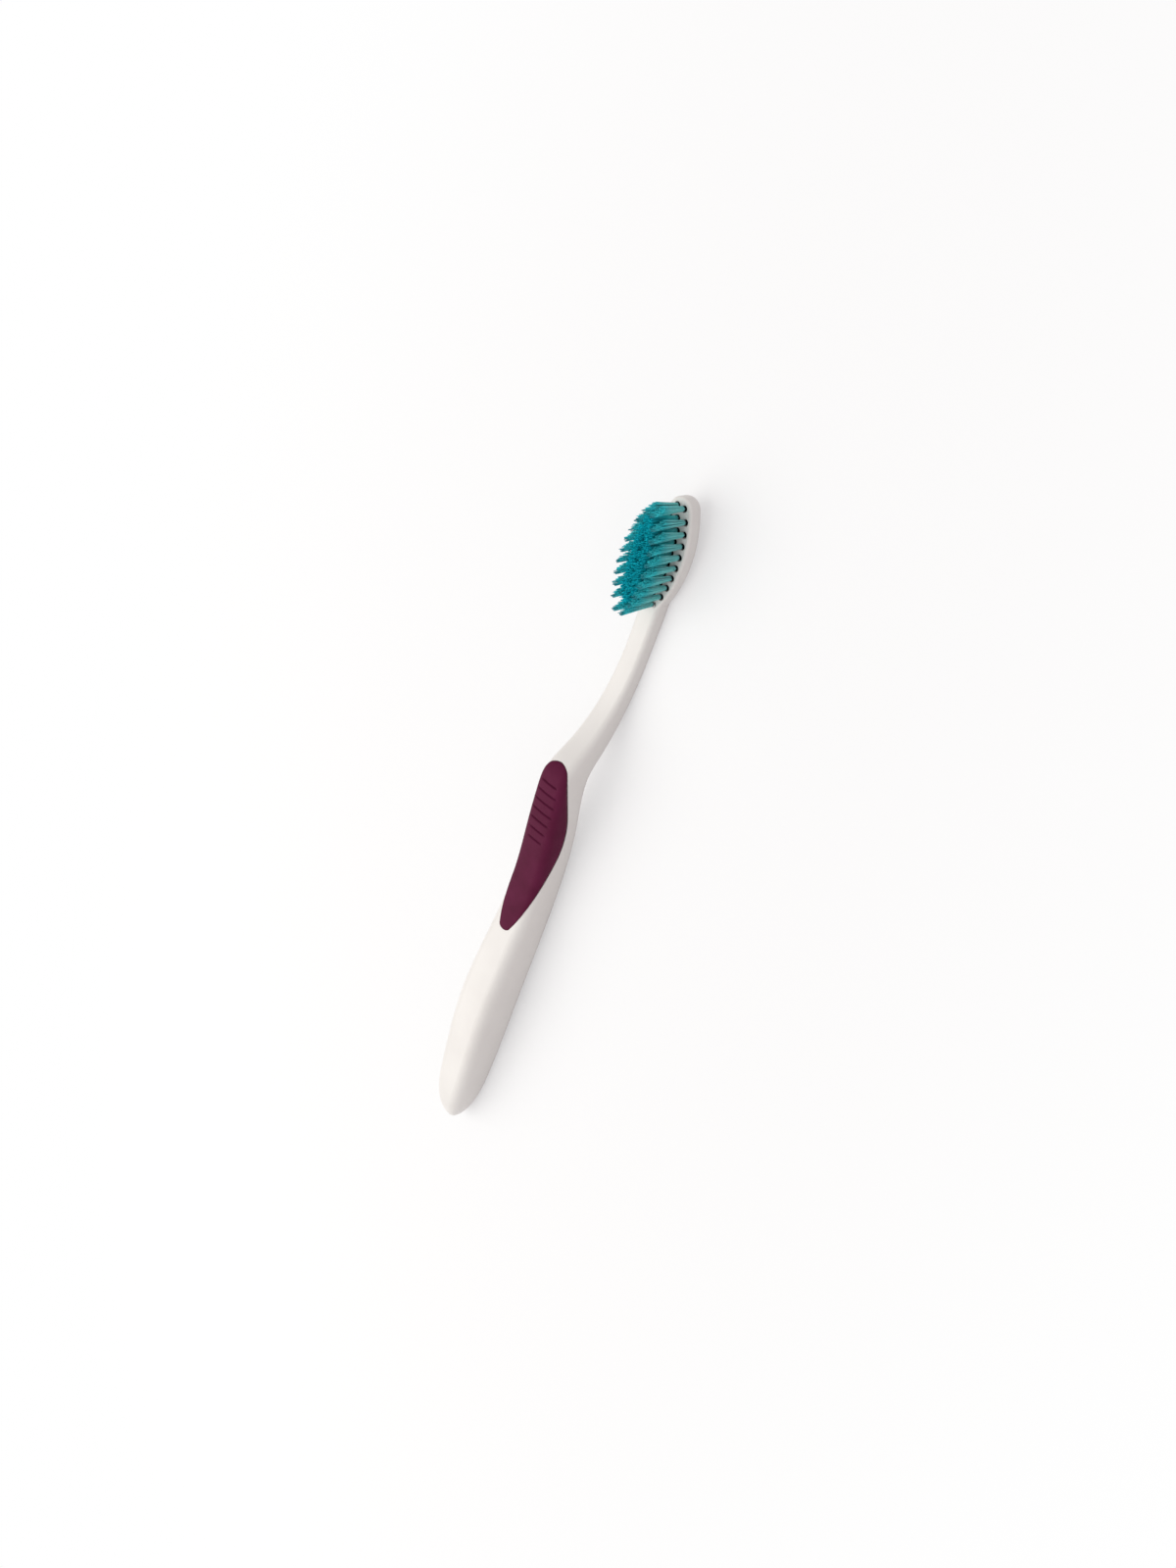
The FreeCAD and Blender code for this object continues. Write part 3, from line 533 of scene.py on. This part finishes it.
STRANDS, STRAND_SIDES = 60, 6
STRAND_RADIUS, TUFT_FOOT_RADIUS = 0.105, 0.54
GOLDEN_TURN, TURN_SCATTER = math.pi * (3 - math.sqrt(5)), 0.25
ANCHOR_CLEAR, INWARD_SHIFT = 0.24, 0.18
FOOT_OUT, ANCHOR_OUT, GATHERED_OUT = -2.7, -1.2, -0.4
SHAFT_SHARES, SPREAD_POWER = (0.0, 0.1, 0.25, 0.42, 0.6, 0.78, 0.92), 1.15
BOW_SCATTER = 0.035
TIP_DROPS, TIP_TAPER = (0.10, 0.03, 0.0), (0.88, 0.62, 0.18)
CHISEL_FROM, CHISEL_TO = -1.0, 0.85


class Trim(NamedTuple):
    """A kind of tuft: its length, how far the tips reach along and across, and how evenly they are cut."""
    length: float
    reach: tuple
    scatter: float
    uneven: float
    chisel: float


CHISEL_SLOPE = math.tan(math.radians(62))
OUTER_TRIM = Trim(length=11.4, reach=(1.3, 0.95), scatter=0.04, uneven=0.35, chisel=CHISEL_SLOPE)
INNER_TRIM = Trim(length=10.6, reach=(1.5, 1.3), scatter=0.12, uneven=0.9, chisel=0.0)


def on_head(along, across, out):
    """A point of the row frame, given along, across and out of the head's face."""
    return (HEAD_X + along * math.cos(HEAD_LEAN) - out * math.sin(HEAD_LEAN), across,
            HEAD_Z + along * math.sin(HEAD_LEAN) + out * math.cos(HEAD_LEAN))


def tuft_places():
    """Every tuft's node, whether it is an outer one, and its place along and across the head."""
    for number, (count, reach) in enumerate(zip(TUFTS_IN_LINE, LINE_REACH_SHARES)):
        along = (number - (len(TUFTS_IN_LINE) - 1) / 2) * TUFT_PITCH - FIELD_SHIFT
        for index in range(count):
            side = 2 * index / (count - 1) - 1
            yield f"tuft_{number + 1:02d}_{index + 1}", abs(side) == 1, along, side * reach * FIELD_HALF_WIDTH


def strand_path(foot, tip, length, bow):
    """Centres along one strand, from the foot beside the anchor to the tip: (along, across, out)."""
    beside = math.copysign(ANCHOR_CLEAR + abs(foot[1]) / 2, foot[1])
    path = [(foot[0], beside, FOOT_OUT), (foot[0], beside, ANCHOR_OUT), (*foot, GATHERED_OUT)]
    for share in SHAFT_SHARES:
        spread, sway = share ** SPREAD_POWER, math.sin(share * math.pi)
        path.append((foot[0] + (tip[0] - foot[0]) * spread + bow[0] * sway,
                     foot[1] + (tip[1] - foot[1]) * spread + bow[1] * sway, share * length))
    return path + [(*tip, length - drop) for drop in TIP_DROPS]


def draw_strand(number, trim, shift, draw):
    """The path of one strand of a bundle, from the middle of the tuft's hole."""
    share = math.sqrt((number + 0.5) / STRANDS)
    turn = number * GOLDEN_TURN + draw.uniform(-TURN_SCATTER, TURN_SCATTER)
    way = (share * math.cos(turn), share * math.sin(turn))
    foot = (TUFT_FOOT_RADIUS * way[0], TUFT_FOOT_RADIUS * way[1] + shift)
    tip = tuple(reach * part + draw.gauss(0, trim.scatter) for reach, part in zip(trim.reach, way))
    length = trim.length - draw.uniform(0, trim.uneven)
    length -= (min(max(tip[0], CHISEL_FROM), CHISEL_TO) - CHISEL_FROM) * trim.chisel
    return strand_path(foot, tip, length, (draw.gauss(0, BOW_SCATTER), draw.gauss(0, BOW_SCATTER)))


def tube_faces(start, rings):
    """Faces of a closed tube whose rings of points follow each other from an index on."""
    faces = []
    for ring in range(rings - 1):
        first = start + ring * STRAND_SIDES
        for side in range(STRAND_SIDES):
            a, b = first + side, first + (side + 1) % STRAND_SIDES
            faces.append((a, b, b + STRAND_SIDES, a + STRAND_SIDES))
    last = start + (rings - 1) * STRAND_SIDES
    faces.append(tuple(reversed(range(start, start + STRAND_SIDES))))
    faces.append(tuple(range(last, last + STRAND_SIDES)))
    return faces


def make_tuft(along, across, trim, draw):
    """Points, faces and strand coordinates (a random shade, share of the length) of one bundle."""
    points, faces, uvs = [], [], []
    shift = -math.copysign(INWARD_SHIFT, across) if across else 0.0
    for number in range(STRANDS):
        path = draw_strand(number, trim, shift, draw)
        shade = draw.random()
        tapers = [1.0] * (len(path) - len(TIP_TAPER)) + [*TIP_TAPER]
        faces += tube_faces(len(points), len(path))
        for (u, w, out), taper in zip(path, tapers):
            radius = STRAND_RADIUS * taper
            for side in range(STRAND_SIDES):
                angle = 2 * math.pi * side / STRAND_SIDES
                points.append(on_head(
                    along + u + radius * math.cos(angle), across + w + radius * math.sin(angle), out))
                uvs.append((shade, max(0.0, out / trim.length)))
    return points, faces, uvs


# Stage, light and camera

def make_floor():
    """A pale floor that holds the brush's shadow and, for the camera, fades into the white background."""
    half, level = 4.0, -0.05 * MM
    fade_start, fade_end, fade_least = 0.05, 0.22, 0.4
    mesh = bpy.data.meshes.new("floor")
    corners = [(-half, -half, level), (half, -half, level), (half, half, level), (-half, half, level)]
    mesh.from_pydata(corners, [], [(0, 1, 2, 3)])
    shader = Shader("floor")
    path = shader.node("LightPath")
    seen = shader.math("MAXIMUM", path.outputs["Is Camera Ray"], path.outputs["Is Glossy Ray"])
    colour = shader.ramp(seen, (0.0, (0.55, 0.53, 0.54)), (1.0, (1.0, 1.0, 1.0)))
    shader.set(Base_Color=colour, Roughness=0.9, Specular_IOR_Level=0.0)
    shortened = shader.node("Mapping", Vector=shader.place(), Scale=(0.5, 1.0, 1.0))
    away = shader.node("VectorMath", Vector=shortened.outputs["Vector"])
    away.operation = "LENGTH"
    fade = shader.node("MapRange", Value=away.outputs["Value"], From_Min=fade_start, From_Max=fade_end,
                       To_Min=fade_least)
    fade.interpolation_type = "SMOOTHSTEP"
    white = shader.math("MULTIPLY", fade.outputs["Result"], path.outputs["Is Camera Ray"])
    glow = shader.node("Emission", Color=(1.0, 1.0, 1.0, 1.0), Strength=1.0)
    shader.blend(white, glow.outputs["Emission"])
    mesh.materials.append(shader.material)
    floor = bpy.data.objects.new("floor", mesh)
    scene.collection.objects.link(floor)


def make_world():
    """White for the camera and through clear things, a softer white for the light on the object."""
    world = bpy.data.worlds.new("studio")
    scene.world = world
    world.use_nodes = True
    tree = world.node_tree
    path = tree.nodes.new("ShaderNodeLightPath")
    seen = tree.nodes.new("ShaderNodeMath")
    seen.operation = "MAXIMUM"
    tree.links.new(path.outputs["Is Camera Ray"], seen.inputs[0])
    tree.links.new(path.outputs["Is Transmission Ray"], seen.inputs[1])
    level = tree.nodes.new("ShaderNodeMapRange")
    tree.links.new(seen.outputs["Value"], level.inputs["Value"])
    level.inputs["To Min"].default_value = 0.62
    level.inputs["To Max"].default_value = 1.0
    background = tree.nodes["Background"]
    background.inputs["Color"].default_value = (1.0, 0.985, 0.995, 1.0)
    tree.links.new(level.outputs["Result"], background.inputs["Strength"])


def make_lamp(name, place, size, energy, colour):
    """A soft square lamp that looks at the brush."""
    light = bpy.data.lights.new(name, "AREA")
    light.size, light.energy, light.color = size, energy, colour
    lamp = bpy.data.objects.new(name, light)
    scene.collection.objects.link(lamp)
    lamp.location = place
    lamp.rotation_euler = (-Vector(place)).to_track_quat("-Z", "Y").to_euler()


def make_camera():
    """The photograph's camera: where it stands, how it is turned, and its lens."""
    eye = Vector((0.17561, -0.18562, 0.26772))
    azimuth, elevation, roll = (math.radians(angle) for angle in (40.575, 47.503, -100.75))
    focal_pixels, photo_height = 1465.36, 1600.0
    data = bpy.data.cameras.new("camera")
    data.lens = data.sensor_width * focal_pixels / photo_height
    data.clip_start = 0.01
    camera = bpy.data.objects.new("camera", data)
    scene.collection.objects.link(camera)
    turn = Matrix.Rotation(azimuth, 4, "Z") @ Matrix.Rotation(math.pi / 2 - elevation, 4, "X")
    camera.matrix_world = Matrix.Translation(eye) @ turn @ Matrix.Rotation(roll, 4, "Z")
    scene.camera = camera


# The object

paint(nodes["handle"], handle_material())
paint(nodes["tuft_anchors"], anchor_material())
add_piece("thumb_grip_skin", *make_grip(), "thumb_grip", "grip", grip_material())
outer_finish = (OUTER_TRIM, "bristle_outer", outer_nylon())
inner_finish = (INNER_TRIM, "bristle_inner", inner_nylon())
for number, (node, outer, along, across) in enumerate(tuft_places()):
    trim, slot, nylon = outer_finish if outer else inner_finish
    points, faces, uvs = make_tuft(along, across, trim, random.Random(number))
    add_piece(f"{node}_strands", points, faces, node, slot, nylon, uvs)

# The stage

make_floor()
make_world()
make_lamp("key", place=(-0.5, 0.6, 1.1), size=1.6, energy=11.0, colour=(1.0, 0.985, 0.95))
make_lamp("fill", place=(0.3, -0.9, 0.5), size=1.0, energy=0.6, colour=(1.0, 0.86, 0.96))
make_camera()
scene.view_settings.view_transform = "Standard"
